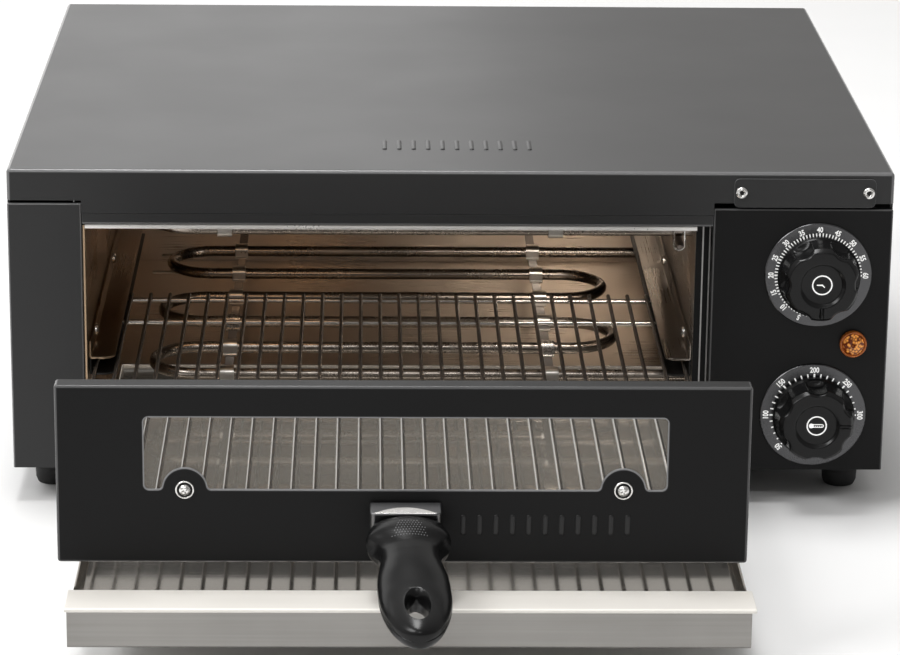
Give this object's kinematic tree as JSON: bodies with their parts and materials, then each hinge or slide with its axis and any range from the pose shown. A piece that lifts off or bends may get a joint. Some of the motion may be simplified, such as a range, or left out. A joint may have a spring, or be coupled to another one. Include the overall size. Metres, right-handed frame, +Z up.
{
  "type": "countertop pizza oven",
  "caption": "Low countertop pizza oven with a pull-out wire rack on a windowed drop-in door, a crumb tray, side timer and thermostat dials and a rocker switch.",
  "frame": {"origin": "bottom centre of the whole oven's box with the rack drawer and the crumb tray pulled out as stored", "axes": "+X to the oven's right seen from the front, +Y from the front to the back, +Z up"},
  "size_m": [0.4862, 0.763, 0.19],
  "materials": {
    "cover_paint": "satin powder coat, charcoal grey",
    "panel_paint": "satin powder coat, near black",
    "liner_steel": "brushed stainless, slightly heat tinted",
    "tray_steel": "brushed stainless, grain along the front",
    "bright_steel": "bright plated steel",
    "rack_wire": "bright chromed wire",
    "element_sheath": "heat-darkened stainless sheath",
    "rubber": "matt black rubber",
    "ceramic": "unglazed steatite",
    "phenolic": "black phenolic, semi gloss",
    "handle_steel": "dark brushed steel",
    "dial_face": "satin black",
    "control_case": "moulded plastic and plated steel case",
    "amber_lens": "clear amber acrylic",
    "switch_black": "black nylon",
    "rocker_red": "red translucent polycarbonate",
    "window_glass": "clear toughened glass"
  },
  "bodies": {
    "oven_body": {"outer_cover": "cover_paint", "rear_panel": "cover_paint", "left_front_panel": "cover_paint", "control_panel": "panel_paint", "header_strip": "panel_paint", "base_pan": "panel_paint", "right_trim_strip": "panel_paint", "badge_plate": "panel_paint", "liner_left": "liner_steel", "liner_right": "liner_steel", "liner_back": "liner_steel", "liner_ceiling": "liner_steel", "liner_floor": "liner_steel", "rail_left": "liner_steel", "rail_right": "liner_steel", "lower_element_bracket_left": "liner_steel", "lower_element_bracket_right": "liner_steel", "upper_element_bracket_left": "liner_steel", "upper_element_bracket_right": "liner_steel", "badge_rivet_left": "bright_steel", "badge_rivet_right": "bright_steel", "rail_screw_left_front": "bright_steel", "rail_screw_left_rear": "bright_steel", "rail_screw_right_front": "bright_steel", "rail_screw_right_rear": "bright_steel", "thermostat_bulb": "bright_steel", "lower_element": "element_sheath", "upper_element": "element_sheath", "foot_front_left": "rubber", "foot_front_right": "rubber", "foot_rear_left": "rubber", "foot_rear_right": "rubber", "cord_bush": "rubber", "lower_terminal_front": "ceramic", "lower_terminal_rear": "ceramic", "upper_terminal_front": "ceramic", "upper_terminal_rear": "ceramic", "timer_dial_plate": "dial_face", "thermostat_dial_plate": "dial_face", "timer_body": "control_case", "thermostat_body": "control_case", "pilot_body": "control_case", "pilot_lens": "amber_lens", "switch_housing": "switch_black"},
    "rack_drawer": {"door_panel": "panel_paint", "door_glass": "window_glass", "door_screw_left": "bright_steel", "door_screw_right": "bright_steel", "rack_bracket": "liner_steel", "wire_rack": "rack_wire", "handle_bracket": "handle_steel", "door_handle": "phenolic"},
    "crumb_tray": {"tray_pan": "tray_steel", "tray_front": "tray_steel"},
    "timer_dial": {"timer_knob": "phenolic", "timer_shaft": "bright_steel"},
    "thermostat_dial": {"thermostat_knob": "phenolic", "thermostat_shaft": "bright_steel"},
    "rocker": {"power_rocker": "rocker_red"}
  },
  "joints": [
    {"name": "rack_slide", "type": "slide", "parent": "oven_body", "child": "rack_drawer", "axis": [0, 1, 0], "range_m": [0, 0.239]},
    {"name": "tray_slide", "type": "slide", "parent": "oven_body", "child": "crumb_tray", "axis": [0, 1, 0], "range_m": [0, 0.278]},
    {"name": "timer_turn", "type": "hinge", "parent": "oven_body", "child": "timer_dial", "pos_m": [0.19717, -0.04068, 0.1325], "axis": [0, 1, 0], "range_deg": [0, 270]},
    {"name": "thermostat_turn", "type": "hinge", "parent": "oven_body", "child": "thermostat_dial", "pos_m": [0.19737, -0.04068, 0.0523], "axis": [0, 1, 0], "range_deg": [-270, 0]},
    {"name": "rocker_tilt", "type": "hinge", "parent": "oven_body", "child": "rocker", "pos_m": [0.23687, 0.00432, 0.104], "axis": [0, 1, 0], "range_deg": [0, 24]}
  ]
}
